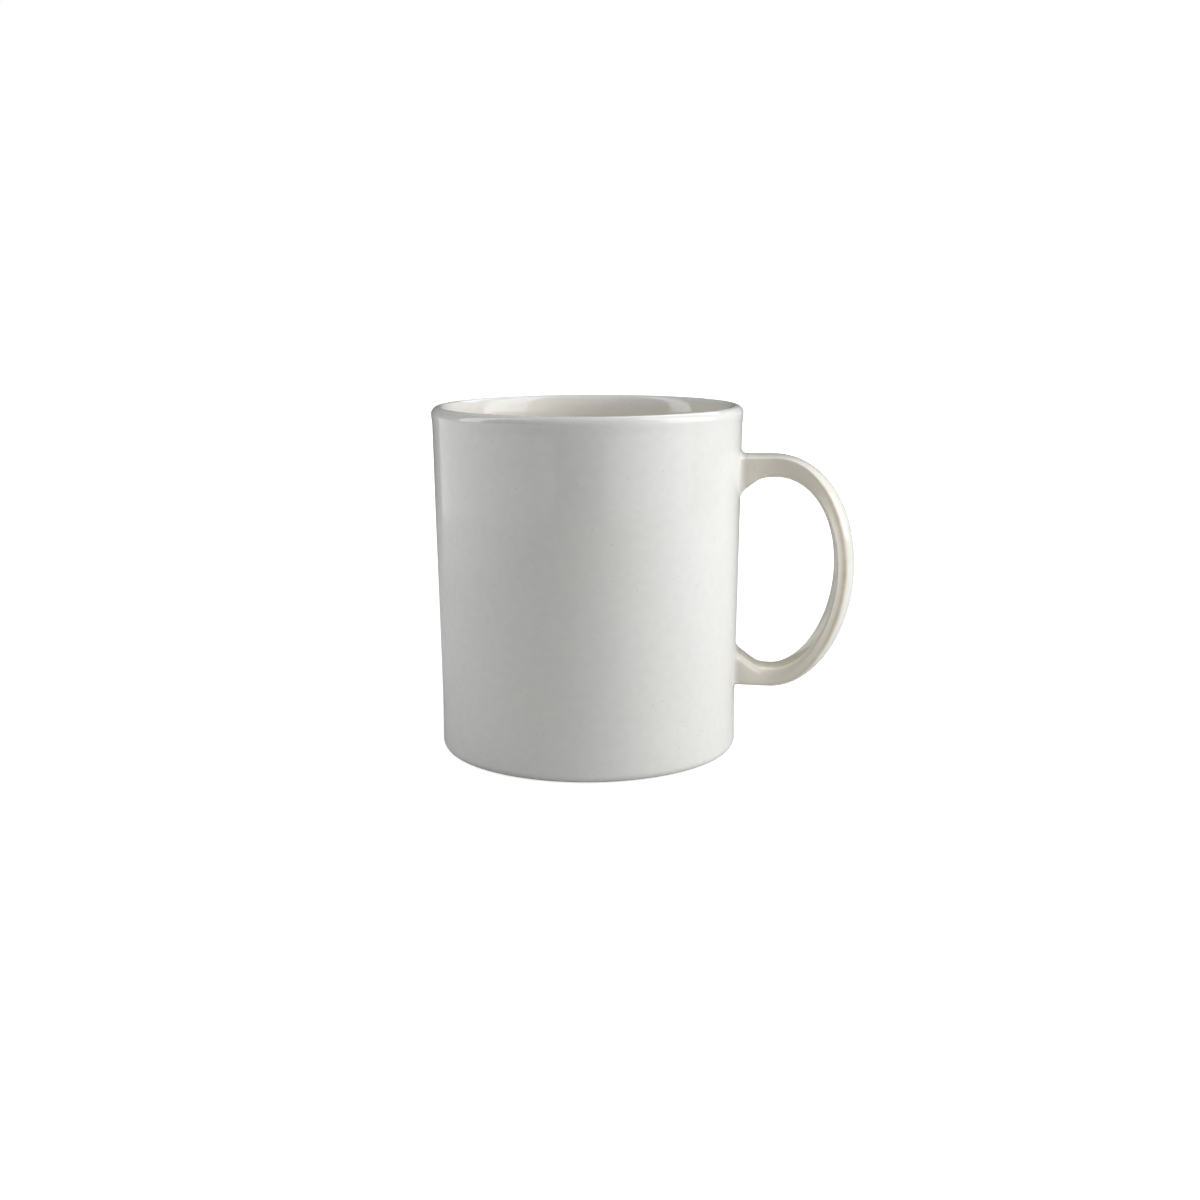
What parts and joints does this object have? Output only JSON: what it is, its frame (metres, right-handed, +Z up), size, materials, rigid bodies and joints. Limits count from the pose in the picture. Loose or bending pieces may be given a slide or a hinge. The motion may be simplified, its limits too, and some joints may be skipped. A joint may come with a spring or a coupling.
{
  "type": "mug",
  "caption": "Straight-sided glazed ceramic mug with a slight taper, a rounded lip, a recessed foot and an ear-shaped strap handle.",
  "frame": {"origin": "on the plane the mug stands on, under the middle of its outer box; the body's axis is the vertical line at x = -15 mm, y = 0", "axes": "+Z up along the body's axis, +X from the body towards the handle, +Y to the left of the handle seen from the handle's side; the mug is symmetric about the XZ plane"},
  "size_m": [0.1124, 0.0824, 0.092],
  "materials": {
    "body_glaze": "glossy warm-white glaze over stoneware, bare clay on the foot ring",
    "handle_glaze": "glossy warm-white glaze, thinner and browner along the edges",
    "seam_glaze": "glossy warm-white glaze pooled in the joint"
  },
  "bodies": {
    "root": {"mug_body": "body_glaze", "handle": "handle_glaze", "upper_slip_seam": "seam_glaze", "lower_slip_seam": "seam_glaze"}
  },
  "joints": []
}
